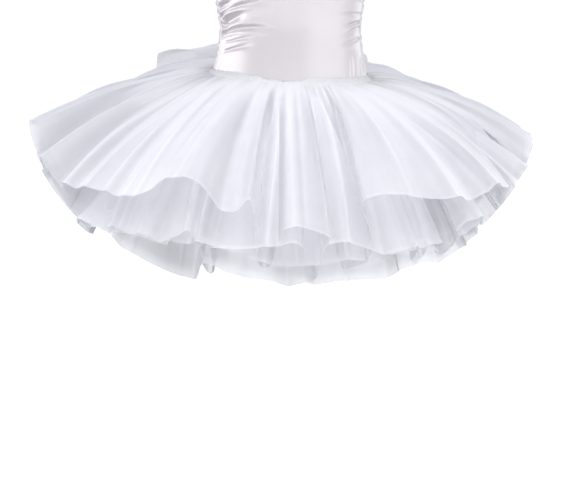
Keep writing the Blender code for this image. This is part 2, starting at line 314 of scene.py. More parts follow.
LOWEST_FRONT = (
    # seam_azimuth, hem_azimuth, droop, growth
    (-64.0, -62.0, 40.0, 2.0),
    (-57.0, -55.0, 39.5, 2.0),
    (-51.0, -46.0, 41.0, 2.0),
    (-47.0, -46.5, 50.0, 1.9),
    (-43.0, -43.2, 54.0, 1.8),
    (-38.0, -40.0, 60.0, 1.7),
    (-33.0, -37.5, 68.0, 1.6),
    (-29.0, -33.0, 69.5, 1.5),
    (-26.0, -27.0, 63.0, 1.4),
    (-23.0, -21.0, 50.5, 1.4),
    (-20.5, -18.8, 50.5, 1.4),
    (-15.5, -15.5, 55.0, 1.4),
    (-11.0, -11.0, 58.3, 1.4),
    (-5.0, -4.6, 59.8, 1.3),
    (-1.5, -0.8, 66.0, 1.2),
    (0.5, 0.6, 64.0, 1.2),
    (3.5, 3.6, 60.7, 1.3),
    (6.5, 6.6, 63.0, 1.3),
    (10.5, 11.0, 60.0, 1.3),
    (17.5, 17.8, 58.8, 1.4),
    (23.5, 26.4, 60.5, 1.5),
    (28.0, 29.0, 53.0, 1.6),
    (33.0, 33.0, 50.0, 1.6),
    (39.0, 43.0, 53.5, 1.8),
    (44.0, 49.0, 50.0, 2.0),
)

# Long ridges of the top net: each has a short steep side and a long easy one.
TOP_RIDGES = (
    # seam_azimuth, hem_azimuth, reach_left, reach_right, rise, start
    (-92.0, -92.0, 4.0, 9.0, 0.006, 0.20),
    (-72.0, -72.0, 5.0, 12.0, 0.012, 0.15),
    (-60.0, -60.0, 5.0, 11.0, 0.014, 0.20),
    (-47.0, -49.0, 4.0, 9.0, 0.010, 0.30),
    (-35.0, -36.5, 3.0, 7.0, 0.006, 0.30),
    (34.0, 35.0, 7.0, 3.0, 0.006, 0.30),
    (47.0, 47.0, 9.0, 4.0, 0.010, 0.30),
    (57.0, 57.0, 10.0, 4.0, 0.009, 0.30),
    (75.0, 75.0, 5.0, 10.0, 0.006, 0.30),
    (90.0, 90.0, 10.0, 4.0, 0.006, 0.20),
)

# How far the gathered edge of the top net stands above the seam.
HEADING = (
    # azimuth, height above the seam
    (-180.0, 0.0070),
    (-130.0, 0.0078),
    (-75.0, 0.0050),
    (-50.0, 0.0066),
    (-35.0, 0.0084),
    (-21.0, 0.0060),
    (-11.0, 0.0022),
    (0.0, 0.0004),
    (7.0, 0.0040),
    (12.0, 0.0086),
    (20.0, 0.0076),
    (30.0, 0.0080),
    (63.0, 0.0072),
    (120.0, 0.0078),
    (180.0, 0.0070),
)

NETS = (
    # name, droop_column, length, least_cover, recesses, ridges, front_hem, seed
    ("net_1", 2, 1.00, 0.00, TOP_RECESSES, TOP_RIDGES, TOP_FRONT, 11),
    ("net_2", 3, 1.00, 0.00, SECOND_RECESSES, (), SECOND_FRONT, 23),
    ("net_3", 4, 0.98, 0.38, THIRD_RECESSES, (), (), 37),
    ("net_4", 5, 0.86, 0.62, FOURTH_RECESSES, (), (), 41),
    ("net_5", 6, 0.97, 0.90, LOWEST_RECESSES, (), LOWEST_FRONT, 59),
)

# Folds that run across the satin front from its side seams: each is a trough between two lips,
# or a ridge where its depth is below zero.
FRONT_CREASES = (
    # angle_1, height_1, angle_2, height_2, angle_3, height_3, half_width, depth
    (-75.0, 0.0330, -57.1, 0.0414, -43.0, 0.0495, 0.0048, 0.0042),
    (-72.5, 0.0185, -38.1, 0.0422, -13.8, 0.0485, 0.0031, 0.0036),
    (-65.0, 0.0085, -47.7, 0.0214, -34.0, 0.0315, 0.0054, 0.0050),
    (-75.0, 0.0072, -60.1, 0.0047, -50.0, 0.0072, 0.0029, 0.0028),
    (-75.0, -0.0130, -35.8, 0.0052, -8.2, 0.0035, 0.0032, 0.0040),
    (-62.0, -0.0220, -37.7, -0.0117, -25.0, -0.0070, 0.0020, 0.0018),
    (-62.0, -0.0380, -39.6, -0.0262, -25.0, -0.0198, 0.0031, 0.0026),
    (75.0, 0.0235, 53.8, 0.0256, 36.0, 0.0270, 0.0020, 0.0013),
    (75.0, 0.0108, 57.1, 0.0083, 45.0, 0.0048, 0.0021, 0.0017),
    (75.0, 0.0060, 56.0, 0.0011, 44.0, -0.0060, 0.0023, -0.0018),
    (75.0, -0.0160, 56.7, -0.0192, 40.0, -0.0260, 0.0025, 0.0020),
)
# Upright pleats where the satin front is caught into the waist seam.
FRONT_PLEATS = (
    # angle_top, height_top, angle_low, half_width, depth
    (57.7, -0.033, 52.7, 0.0024, 0.0018),
    (65.4, -0.030, 60.2, 0.0020, 0.0020),
    (71.5, -0.036, 67.0, 0.0018, 0.0018),
    (-68.0, -0.052, -70.0, 0.0030, 0.0012),
)

# ---- The studio ----------------------------------------------------------------------------
STUDIO_TURNS = 96
FLOOR_RADIUS = 9.0
CORNER_RADIUS = 3.0
WALL_TOP = 14.0

# Softboxes light the cloth, and cards only show in the shine of the satin.
LAMPS = (
    # name, place, target, width, height, power, colour
    ("key_softbox", (0.1, -2.7, 2.2), (0.0, 0.0, -0.1), 3.4, 2.4, 96.0, (0.99, 0.99, 1.0)),
    ("back_softbox", (0.5, 1.4, 2.6), (0.0, 0.0, -0.1), 2.4, 1.6, 9.0, (0.98, 0.985, 1.0)),
    ("left_card", (-2.4, 0.2, -0.1), (0.0, 0.0, 0.0), 3.6, 2.6, 34.0, (1.0, 0.99, 1.0)),
    ("front_card", (2.3, -2.0, 0.0), (0.0, 0.0, -0.1), 3.2, 2.6, 14.0, (1.0, 0.99, 0.98)),
    ("right_card", (2.1, 1.5, 0.1), (0.0, 0.0, 0.0), 1.6, 2.0, 8.0, (0.98, 0.98, 1.0)),
)


class NetSizes(bpy.types.PropertyGroup):
    """Sizes and looks of the skirt nets."""

    cut_length: FloatProperty(
        name="Cut length", description="Depth of a full net from seam to hem", default=0.318,
        min=0.1, max=0.6, subtype="DISTANCE", unit="LENGTH")
    cut_width: FloatProperty(
        name="Cut width", description="Length of net that is gathered into one round of the seam",
        default=2.9, min=1.0, max=8.0, subtype="DISTANCE", unit="LENGTH")
    columns: IntProperty(
        name="Columns", description="Mesh columns round the seam", default=1200, min=200, max=2000)
    rows: IntProperty(name="Rows", description="Mesh rows from seam to hem", default=44, min=8, max=90)
    gathers: IntProperty(
        name="Gathers", description="Fine gathers round the seam", default=132, min=20, max=300)
    gather_depth: FloatProperty(
        name="Gather depth", description="Height of a fine gather at the seam", default=0.0016,
        min=0.0, max=0.01, subtype="DISTANCE", unit="LENGTH")
    creases: IntProperty(
        name="Creases", description="Small long folds in each net", default=50, min=0, max=200)
    heading_rows: IntProperty(
        name="Heading rows", description="Mesh rows of the gathered edge above the seam", default=8,
        min=2, max=20)
    coverage: FloatProperty(
        name="Coverage", description="Share of the light that flat net stops", default=0.43,
        min=0.05, max=0.95, subtype="FACTOR")
    colour: FloatVectorProperty(
        name="Colour", description="Colour of the net's thread", default=(0.965, 0.965, 0.985),
        min=0.0, max=1.0, size=3, subtype="COLOR")


class SatinSizes(bpy.types.PropertyGroup):
    """Sizes and looks of the satin pieces."""

    columns: IntProperty(
        name="Columns", description="Mesh columns of a bodice panel", default=300, min=40, max=400)
    rows: IntProperty(name="Rows", description="Mesh rows of a bodice panel", default=230, min=40, max=400)
    hem_depth: FloatProperty(
        name="Hem depth", description="Depth of the hem turned in at the neckline", default=0.0085,
        min=0.002, max=0.03, subtype="DISTANCE", unit="LENGTH")
    strap_width: FloatProperty(
        name="Strap width", description="Width of a shoulder strap", default=0.011,
        min=0.004, max=0.04, subtype="DISTANCE", unit="LENGTH")
    stitch_length: FloatProperty(
        name="Stitch length", description="From one stitch to the next", default=0.0030,
        min=0.001, max=0.01, subtype="DISTANCE", unit="LENGTH")
    colour: FloatVectorProperty(
        name="Colour", description="Colour of the satin", default=(0.738, 0.70, 0.718),
        min=0.0, max=1.0, size=3, subtype="COLOR")
    roughness: FloatProperty(
        name="Roughness", description="Spread of the satin's shine", default=0.33,
        min=0.0, max=1.0, subtype="FACTOR")


class StageSizes(bpy.types.PropertyGroup):
    """The pale studio and its camera."""

    floor_drop: FloatProperty(
        name="Floor drop", description="Depth of the floor under the waist", default=1.02,
        min=0.4, max=3.0, subtype="DISTANCE", unit="LENGTH")
    camera_distance: FloatProperty(
        name="Camera distance", description="From the waist to the camera", default=3.0,
        min=1.0, max=10.0, subtype="DISTANCE", unit="LENGTH")
    camera_rise: FloatProperty(
        name="Camera rise", description="Height of the camera over the waist", default=0.28,
        min=-1.0, max=3.0, subtype="DISTANCE", unit="LENGTH")
    camera_pitch: FloatProperty(
        name="Camera pitch", description="Tilt of the camera below level", default=radians(12.39),
        min=-1.5, max=1.5, subtype="ANGLE", unit="ROTATION")
    camera_lens: FloatProperty(
        name="Lens", description="Focal length in millimetres", default=114.6, min=20.0, max=300.0)


# ---- Curves and tables ---------------------------------------------------------------------
def eased(table, values, column):
    """One column of a table at values of its first column, eased from row to row."""
    keys = np.array([row[0] for row in table])
    heights = np.array([row[column] for row in table])
    upper = np.clip(np.searchsorted(keys, values, side="right"), 1, len(keys) - 1)
    share = np.clip((values - keys[upper - 1]) / (keys[upper] - keys[upper - 1]), 0.0, 1.0)
    share = share * share * (3.0 - 2.0 * share)
    return heights[upper - 1] + (heights[upper] - heights[upper - 1]) * share


def smooth_rows(rows, share):
    """Rows of a table at shares of the way down it, on a smooth curve through all of them."""
    rows = np.array(rows)
    place = np.clip(np.asarray(share, float), 0.0, 1.0) * (len(rows) - 1)
    index = np.minimum(place.astype(int), len(rows) - 2)
    step = (place - index)[..., None]
    before = rows[np.maximum(index - 1, 0)]
    first = rows[index]
    second = rows[index + 1]
    after = rows[np.minimum(index + 2, len(rows) - 1)]
    slope_in = (second - before) / 2.0
    slope_out = (after - first) / 2.0
    cube = 2.0 * first - 2.0 * second + slope_in + slope_out
    square = 3.0 * second - 3.0 * first - 2.0 * slope_in - slope_out
    return ((cube * step + square) * step + slope_in) * step + first


def figure_at(height):
    """Half width, front depth and back depth of the figure at heights."""
    keys = np.array([row[0] for row in FIGURE])
    height = np.asarray(height, float)
    index = np.clip(np.searchsorted(keys, height, side="right"), 1, len(keys) - 1) - 1
    share = (index + (height - keys[index]) / (keys[index + 1] - keys[index])) / (len(keys) - 1)
    found = smooth_rows(FIGURE, share)
    return found[..., 1], found[..., 2], found[..., 3]


def ramp(value):
    """0 below 0, 1 above 1, and eased between."""
    value = np.clip(value, 0.0, 1.0)
    return value * value * (3.0 - 2.0 * value)


def hip_drop(points):
    """Tilt the hips: below the waist, lower each point by its distance towards +X."""
    points[..., 2] -= HIP_TILT * points[..., 0] * ramp(points[..., 2] / SEAM_HEIGHT)
    return points


def on_figure(angle, height, outward=0.0):
    """Points on the figure: angle 0 is the centre front, 90 the +X side and 180 the back."""
    angle, height, outward = np.broadcast_arrays(angle, height, outward)
    half_width, front, back = figure_at(height)
    turn = np.radians(angle)
    depth = np.where(np.cos(turn) > 0.0, front, back)
    points = np.stack([
        (half_width + outward) * np.sin(turn),
        -(depth + outward) * np.cos(turn),
        height,
    ], axis=-1)
    return hip_drop(points)


def round_smooth(values, blur):
    """Smooth values that run all the way round, over blur columns."""
    reach = int(blur * 4) + 1
    offsets = np.arange(-reach, reach + 1)
    weights = np.exp(-0.5 * (offsets / blur) ** 2)
    weights /= weights.sum()
    wrapped = np.concatenate([values[-reach:], values, values[:reach]])
    return np.convolve(wrapped, weights, "valid")


# ---- Meshes --------------------------------------------------------------------------------
def sheet_mesh(name, points, closed, uv=None, marks=None):
    """An object from rows and columns of points; closed joins its last column to its first."""
    row_count, column_count = points.shape[:2]
    index = np.arange(row_count * column_count).reshape(row_count, column_count)
    following = np.roll(index, -1, axis=1)
    if not closed:
        index_left = index[:, :-1]
        following = following[:, :-1]
    else:
        index_left = index
    quads = np.stack([index_left[1:], following[1:], following[:-1], index_left[:-1]], axis=-1)
    quads = quads.reshape(-1, 4)
    mesh = bpy.data.meshes.new(name)
    mesh.vertices.add(row_count * column_count)
    mesh.vertices.foreach_set("co", points.reshape(-1).astype(np.float32))
    mesh.loops.add(quads.size)
    mesh.loops.foreach_set("vertex_index", quads.reshape(-1).astype(np.int32))
    mesh.polygons.add(len(quads))
    mesh.polygons.foreach_set("loop_start", np.arange(0, quads.size, 4, dtype=np.int32))
    mesh.update(calc_edges=True)
    if uv is not None:
        layer = mesh.uv_layers.new(name="cut")
        flat = uv.reshape(-1, 2)[quads.reshape(-1)].astype(np.float32)
        layer.data.foreach_set("uv", flat.reshape(-1))
    if marks is not None:
        for key, values in marks.items():
            kind, slot = ("FLOAT_VECTOR", "vector") if values.ndim == 3 else ("FLOAT", "value")
            attribute = mesh.attributes.new(key, kind, "POINT")
            attribute.data.foreach_set(slot, values.reshape(-1).astype(np.float32))
    mesh.shade_smooth()
    piece = bpy.data.objects.new(name, mesh)
    bpy.context.scene.collection.objects.link(piece)
    return piece


def settle(piece, material, slot, *nodes):
    """Give a piece its finish, its body and the nodes that it stands for."""
    piece.data.materials.clear()
    piece.data.materials.append(material)
    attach(piece, BODY)
    if nodes:
        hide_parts(*nodes)


# ---- Finishes ------------------------------------------------------------------------------
def new_material(name):
    """An empty node material, and a function that adds a node with its inputs and settings."""
    material = bpy.data.materials.new(name)
    material.use_nodes = True
    tree = material.node_tree
    tree.nodes.clear()

    def add(kind, inputs=None, **settings):
        """Add a node: each input is linked to the output given for it, or set to the value."""
        node = tree.nodes.new(kind)
        for key, value in settings.items():
            setattr(node, key, value)
        for key, value in (inputs or {}).items():
            if isinstance(value, bpy.types.NodeSocket):
                tree.links.new(value, node.inputs[key])
            else:
                node.inputs[key].default_value = value
        return node

    return material, add


def sum_of(add, operation, first, second, use_clamp=False):
    """The result of a sum on two values or outputs."""
    return add("ShaderNodeMath", {0: first, 1: second}, operation=operation, use_clamp=use_clamp).outputs[0]


def stretch(add, value, from_low, from_high, to_low, to_high):
    """An output taken from one range to another."""
    ends = {"From Min": from_low, "From Max": from_high, "To Min": to_low, "To Max": to_high}
    return add("ShaderNodeMapRange", {"Value": value, **ends}).outputs["Result"]


def tones(add, share, first, second):
    """A colour between two, at a share that changes from place to place."""
    mixed = add("ShaderNodeMix", {"A": (*first, 1.0), "B": (*second, 1.0), "Factor": share},
                data_type="RGBA")
    return mixed.outputs["Result"]


def net_finish(sizes):
    """Sheer white net: more thread shows where it is gathered, turned edge on or hemmed."""
    material = bpy.data.materials.get("net_white")
    if material is not None:
        return material
    material, add = new_material("net_white")
    crowding = add("ShaderNodeAttribute", attribute_name="crowding").outputs["Fac"]
    facing = add("ShaderNodeLayerWeight", {"Blend": 0.5}).outputs["Facing"]
    across = sum_of(add, "MAXIMUM", sum_of(add, "SUBTRACT", 1.0, facing), 0.16)
    threads = sum_of(add, "DIVIDE", crowding, across)
    gap = sum_of(add, "POWER", 1.0 - sizes.coverage, threads)
    cover = sum_of(add, "SUBTRACT", 1.0, gap)

    # the net's cells, and a slow change of density from place to place
    cut = add("ShaderNodeUVMap", uv_map="cut").outputs["UV"]
    cells = add("ShaderNodeTexVoronoi", {"Scale": 650.0, "Randomness": 0.35, "Vector": cut},
                feature="DISTANCE_TO_EDGE")
    patches = add("ShaderNodeTexNoise", {"Scale": 14.0, "Detail": 3.0, "Vector": cut})
    cell_lines = stretch(add, cells.outputs["Distance"], 0.02, 0.30, 1.18, 0.86)
    density = stretch(add, patches.outputs["Fac"], 0.0, 1.0, 0.90, 1.10)
    woven = sum_of(add, "MULTIPLY", cover, sum_of(add, "MULTIPLY", cell_lines, density))

    # the cut edge catches more light
    hem = add("ShaderNodeAttribute", attribute_name="hem").outputs["Fac"]
    opacity = sum_of(add, "MAXIMUM", woven, hem, use_clamp=True)

    # fine threads scatter light to all sides, so small folds shade it only a little
    normal = add("ShaderNodeNewGeometry").outputs["Normal"]
    broad = add("ShaderNodeAttribute", attribute_name="broad_side").outputs["Vector"]
    alike = add("ShaderNodeVectorMath", {0: normal, 1: broad}, operation="DOT_PRODUCT")
    pull = sum_of(add, "MULTIPLY", alike.outputs["Value"], 8.0)
    towards = add("ShaderNodeVectorMath", {0: broad, "Scale": pull}, operation="SCALE")
    both = add("ShaderNodeVectorMath", {0: normal, 1: towards.outputs["Vector"]}, operation="ADD")
    soft = add("ShaderNodeVectorMath", {0: both.outputs["Vector"]}, operation="NORMALIZE").outputs["Vector"]

    white = (*sizes.colour, 1.0)
    thread = add("ShaderNodeBsdfPrincipled", {
        "Normal": soft, "Base Color": white, "Roughness": 0.62, "Specular IOR Level": 0.30})
    through = add("ShaderNodeBsdfTranslucent", {"Color": white, "Normal": soft})
    thinness = stretch(add, crowding, 1.0, 3.0, 0.50, 0.04)
    lit = add("ShaderNodeMixShader", {"Fac": thinness, 1: thread.outputs[0], 2: through.outputs[0]})
    clear = add("ShaderNodeBsdfTransparent")
    sheer = add("ShaderNodeMixShader", {"Fac": opacity, 1: clear.outputs[0], 2: lit.outputs[0]})
    add("ShaderNodeOutputMaterial", {"Surface": sheer.outputs[0]})
    return material


def satin_finish(sizes):
    """White stretch satin: a broad soft shine, with slow unevenness of tone."""
    material = bpy.data.materials.get("satin_white")
    if material is not None:
        return material
    material, add = new_material("satin_white")
    place = add("ShaderNodeTexCoord").outputs["Object"]
    slow = add("ShaderNodeTexNoise", {"Scale": 22.0, "Detail": 3.0, "Vector": place})
    tone = tones(add, slow.outputs["Fac"], [0.955 * part for part in sizes.colour], sizes.colour)
    cloth = add("ShaderNodeBsdfPrincipled", {
        "Base Color": tone, "Roughness": sizes.roughness, "Metallic": 0.46, "Specular IOR Level": 0.80,
        "Sheen Weight": 0.10, "Sheen Roughness": 0.35})
    add("ShaderNodeOutputMaterial", {"Surface": cloth.outputs[0]})
    return material


def thread_finish():
    """Matt white sewing thread with a fine twist."""
    material = bpy.data.materials.get("thread_white")
    if material is not None:
        return material
    material, add = new_material("thread_white")
    place = add("ShaderNodeTexCoord").outputs["Object"]
    twist = add("ShaderNodeTexWave", {"Scale": 1500.0, "Vector": place}, bands_direction="DIAGONAL")
    tone = tones(add, twist.outputs["Fac"], (0.74, 0.73, 0.76), (0.90, 0.89, 0.91))
    cotton = add("ShaderNodeBsdfPrincipled", {"Base Color": tone, "Roughness": 0.55, "Sheen Weight": 0.2})
    add("ShaderNodeOutputMaterial", {"Surface": cotton.outputs[0]})
    return material


def studio_finish():
    """The pale studio paper."""
    material, add = new_material("studio_paper")
    paper = add("ShaderNodeBsdfDiffuse", {"Color": (0.92, 0.92, 0.93, 1.0)})
    glow = add("ShaderNodeEmission", {"Color": (1.0, 1.0, 1.0, 1.0), "Strength": 0.58})
    both = add("ShaderNodeAddShader", {0: paper.outputs[0], 1: glow.outputs[0]})
    add("ShaderNodeOutputMaterial", {"Surface": both.outputs[0]})
    return material


# ---- The nets ------------------------------------------------------------------------------
def wrapped(azimuth):
    """Azimuths from -180 to 180."""
    return (np.asarray(azimuth) + 180.0) % 360.0 - 180.0


def all_recesses(placed, chance):
    """The placed recesses, and similar ones of uneven size on the stretch behind them."""
    rows = list(placed)
    place = rows[-1][0] + chance.uniform(14.0, 20.0)
    last = rows[0][0] + 360.0
    while place < last - 12.0:
        rows.append((
            place,
            chance.uniform(4.0, 7.5),
            chance.uniform(4.0, 8.5),
            chance.uniform(0.3, 2.2),
            chance.uniform(0.3, 2.2),
            chance.uniform(1.7, 2.6),
        ))
        place += chance.uniform(12.0, 24.0)
    return rows


def hem_turns(recesses, front, column):
    """Turning points of a hem: seam azimuth, hem azimuth, droop and growth, once round."""
    rows = []
    for number, (place, width, depth, roll_left, roll_right, growth) in enumerate(recesses):
        left, right = place - width / 2.0, place + width / 2.0
        low = float(eased(DROOP, wrapped(left), column))
        high = float(eased(DROOP, wrapped(right), column))
        middle = (low + high) / 2.0
        rows += [
            (left, left + roll_left, low, growth),
            (place - 0.30 * width, place - 0.30 * width - 0.40 * roll_left,
             0.5 * (low + middle) + 0.6 * depth, growth),
            (place - 0.12 * width, place - 0.14 * width, middle + depth, growth),
            (place + 0.12 * width, place + 0.14 * width, middle + depth, growth),
            (place + 0.30 * width, place + 0.30 * width + 0.40 * roll_right,
             0.5 * (high + middle) + 0.6 * depth, growth),
            (right, right - roll_right, high, growth),
        ]
        after = recesses[(number + 1) % len(recesses)]
        start_after = after[0] - after[1] / 2.0
        if start_after < right:
            start_after += 360.0
        span = start_after - right
        for part in (0.25, 0.5, 0.75):
            crest = right + part * span
            rise = 0.045 * span * 4.0 * part * (1.0 - part)
            rows.append((crest, crest, float(eased(DROOP, wrapped(crest), column)) - rise,
                         growth + (after[5] - growth) * part))
    if front:
        rows = [row for row in rows if not front[0][0] - 1.0 < row[0] < front[-1][0] + 1.0]
    return sorted(rows + list(front))


def hem_line(recesses, front, column, seam):
    """Hem azimuth, hem droop, plain droop and growth for each column of a net."""
    rows = np.array(hem_turns(recesses, front, column))
    keys = np.concatenate([rows[:, 0] - 360.0, rows[:, 0], rows[:, 0] + 360.0])
    blur = len(seam) / 360.0
    lines = []
    for values, width in ((rows[:, 1] - rows[:, 0], 0.45), (rows[:, 2], 0.45), (rows[:, 3], 4.0)):
        line = np.interp(seam, keys, np.concatenate([values] * 3))
        lines.append(round_smooth(line, width * blur))
    plain = round_smooth(eased(DROOP, seam, column), 5.0 * blur)
    return seam + lines[0], lines[1], plain, lines[2]


def seam_ring(azimuths, height, outward):
    """Points round the seam where a net that leaves at those azimuths is sewn on."""
    half_width, front, back = figure_at(height)
    turn = np.radians(azimuths)
    depth = np.where(np.cos(turn) > 0.0, front, back)
    round_body = np.degrees(np.arctan2(half_width * np.sin(turn), depth * np.cos(turn)))
    return on_figure(round_body, height, outward)


def leaving(azimuth, droop):
    """Directions that leave the seam at azimuths and drop below level by some degrees."""
    turn, fall = np.radians(azimuth), np.radians(droop)
    return np.stack([np.cos(fall) * np.sin(turn), -np.cos(fall) * np.cos(turn), -np.sin(fall)], -1)


def small_folds(seam, way, count, chance):
    """Lift, slide and pressed lines of small long folds, each with its own place and lean."""
    lift, slide, pressed = np.zeros((3, len(way), len(seam)))
    for number in range(count):
        centre = -180.0 + 360.0 * (number + chance.uniform(-0.45, 0.45)) / count
        half = chance.uniform(1.6, 4.2)
        rise = chance.uniform(0.0012, 0.0044) * chance.choice([-1.0, 1.0], p=[0.35, 0.65])
        lean = chance.uniform(-1.0, 1.0)
        peak = chance.uniform(0.22, 0.95)
        drift = chance.uniform(-2.0, 2.0)
        away = wrapped(seam[None] - centre - drift * way[:, None]) / half
        bell = np.where(np.abs(away) < 1.0, np.cos(away * pi / 2.0) ** 2, 0.0)
        grow = (way / peak * np.exp(1.0 - way / peak))[:, None]
        lift += rise * bell * grow
        slide += lean * abs(rise) * 1.6 * bell * grow
        line = (away - 0.7 * np.sign(lean)) * half / 0.42
        pressed += chance.uniform(0.1, 0.55) * np.exp(-line ** 2) * grow
    return lift, slide, pressed


def all_ridges(placed, chance):
    """The placed ridges, and similar ones of uneven size where none is placed."""
    rows = list(placed)
    edges = [row[1] for row in placed] or [0.0]
    place = edges[-1] + 14.0
    while place < edges[0] + 346.0:
        short, long = chance.uniform(2.5, 5.0), chance.uniform(6.0, 12.0)
        left, right = (short, long) if chance.uniform(0.0, 1.0) < 0.5 else (long, short)
        rows.append((
            place,
            place + chance.uniform(-2.0, 2.0),
            left,
            right,
            chance.uniform(0.005, 0.014),
            chance.uniform(0.15, 0.40),
        ))
        place += chance.uniform(9.0, 20.0)
    return rows


def long_ridges(rows, seam, way):
    """Lift and pressed crests of long ridges, each with a short side and a long one."""
    lift, pressed = np.zeros((2, len(way), len(seam)))
    for seam_azimuth, hem_azimuth, reach_left, reach_right, rise, start in rows:
        crest = seam_azimuth + (hem_azimuth - seam_azimuth) * way[:, None]
        away = wrapped(seam[None] - crest)
        side = 1.0 - np.abs(away) / np.where(away < 0.0, reach_left, reach_right)
        grow = ramp((way - start) / 0.5)[:, None]
        lift += rise * (np.clip(side, 0.0, 1.0) ** 1.3) * grow
        pressed += 0.9 * np.exp(-(away / 0.40) ** 2) * grow
    return lift, pressed


def fine_gathers(seam, way, sizes, chance):
    """Phase, lift and slide of the fine gathers, which reach down unevenly from the seam."""
    waver = np.zeros(len(seam))
    fade = np.full(len(seam), 0.12)
    for harmonic in (3, 5, 8, 13, 21, 34):
        waver += chance.uniform(0.1, 0.5) * np.sin(np.radians(seam * harmonic) + chance.uniform(0, 6.3))
        fade += 0.035 * np.sin(np.radians(seam * harmonic) + chance.uniform(0, 6.3))
    phase = np.radians(seam * sizes.gathers) + waver * 1.8
    strength = np.exp(-(way[:, None] / np.maximum(fade, 0.04)[None]) ** 1.1)
    strength *= (0.35 + 0.65 * ramp(way / 0.02))[:, None]
    lift = sizes.gather_depth * np.sin(phase)[None] * strength
    slide = 0.45 * sizes.gather_depth * np.sin(2.0 * phase)[None] * strength
    return phase, lift, slide


def thread_marks(points, way, seam, pressed, least_cover, flat_step):
    """How far the threads are pushed together, and the least share of light they stop."""
    step = np.linalg.norm(np.roll(points, -1, axis=1) - np.roll(points, 1, axis=1), axis=-1) / 2.0
    crowding = np.clip(flat_step / np.maximum(step, 1e-5), 0.75, 2.4)
    crowding = np.stack([round_smooth(row, 1.2) for row in crowding]) + pressed
    sides = ramp((np.abs(seam) - 52.0) / 20.0) * ramp((150.0 - np.abs(seam)) / 30.0)
    cover = least_cover + (SIDE_COVER - least_cover) * (sides[None] * ramp(way / 0.7)[:, None])
    cover = np.maximum(cover, least_cover)
    cover[-2] = 0.60
    cover[-1] = 0.80
    return crowding, cover


def net_points(net, sizes):
    """Rows and columns of points of one net, its cut coordinates and its marks."""
    name, column, length, least_cover, placed, ridges, front, seed = net
    level = [row[0] for row in NETS].index(name)
    chance = np.random.default_rng(seed)
    seam = np.linspace(-180.0, 180.0, sizes.columns, endpoint=False)
    hem, droop, plain, growth = hem_line(all_recesses(placed, chance), front, column, seam)
    way = np.linspace(0.0, 1.0, sizes.rows) ** 1.35
    way[-2] = 1.0 - 0.004
    height = SEAM_HEIGHT - SEAM_TUCK - NET_ROW * level
    outward = SATIN_WALL + NET_CLEAR

    # plain threads from the seam, drawn aside towards the folded hem as they run down
    reach = (eased(DROOP, wrapped(hem), 1) * sizes.cut_length * length)[:, None]
    root = seam_ring(seam, height, outward)
    plain_hem = root + reach * leaving(seam, plain)
    folded_hem = seam_ring(hem, height, outward) + reach * leaving(hem, droop)
    down = way[:, None, None]
    aside = (way[:, None] ** growth[None])[..., None]
    points = root[None] * (1.0 - down) + plain_hem[None] * down
    points = points + (folded_hem - plain_hem)[None] * aside

    # which way is up and which way is round, for each thread
    facing = np.radians(seam[None] + (hem - seam)[None] * way[:, None])
    slope = np.radians(plain[None] + (droop - plain)[None] * way[:, None])
    up = np.stack([np.sin(slope) * np.sin(facing), -np.sin(slope) * np.cos(facing), np.cos(slope)], -1)
    around = np.stack([np.cos(facing), np.sin(facing), 0.0 * facing], -1)

    # the gathers stand up from the seam, and the net bows on its way down
    early = (way / 0.16)[:, None]
    puff = 0.002 + 0.007 * ramp((np.abs(seam) - 50.0) / 90.0)[None]
    bow = (NET_BOW * 4.0 * way * (1.0 - way))[:, None] + puff * early * np.exp(1.0 - early)
    fold_lift, fold_slide, fold_lines = small_folds(seam, way, sizes.creases, chance)
    ridge_lift, ridge_lines = long_ridges(all_ridges(ridges, chance), seam, way)
    phase, gather_lift, gather_slide = fine_gathers(seam, way, sizes, chance)
    lift = bow + fold_lift + ridge_lift + gather_lift
    points = points + up * lift[..., None] + around * (fold_slide + gather_slide)[..., None]

    pressed = fold_lines + ridge_lines
    if level == 0:
        points, way, up = add_heading(points, way, up, seam, phase, sizes)
        pressed = np.concatenate([pressed[:sizes.heading_rows], pressed])
    flat_step = sizes.cut_width * length / sizes.columns
    crowding, cover = thread_marks(points, way, seam, pressed, least_cover, flat_step)
    if level == 0:
        cover[0] = 0.95
        crowding[:sizes.heading_rows] = 3.0
    across = np.broadcast_to((seam + 180.0) / 360.0 * sizes.cut_width, crowding.shape)
    along = np.broadcast_to((way * sizes.cut_length * length)[:, None], crowding.shape)
    marks = {"crowding": crowding, "hem": cover, "broad_side": up}
    return points, np.stack([across, along], -1), marks


def add_heading(points, way, up, seam, phase, sizes):
    """Add the gathered edge that stands on the satin above the seam to the top net."""
    edge = eased(HEADING, seam, 1) + 0.0007 * np.sin(phase) + 0.0007 * np.sin(0.31 * phase + 1.0)
    shares = np.linspace(1.0, 0.0, sizes.heading_rows, endpoint=False)[:, None]
    height = SEAM_HEIGHT - SEAM_TUCK + shares * (edge + SEAM_TUCK)[None]
    ripple = 0.0003 * np.sin(phase)[None] * shares
    satin = crease_lift(wrapped(seam)[None], height, (), FRONT_PLEATS)
    outward = SATIN_WALL + 0.0007 + ripple + 0.0008 * shares * shares + np.maximum(satin, 0.0)
    outward = outward + (NET_CLEAR - 0.0007) * (1.0 - shares) ** 2
    ruffle = seam_ring(seam[None] + 0.0 * height, height, outward)
    away = ruffle * [1.0, 1.0, 0.0]
    away = away / np.linalg.norm(away, axis=-1)[..., None] + [0.0, 0.0, 1.2]
    away /= np.linalg.norm(away, axis=-1)[..., None]
    above = -(shares[:, 0] * 0.007) / sizes.cut_length
    return np.concatenate([ruffle, points]), np.concatenate([above, way]), np.concatenate([away, up])


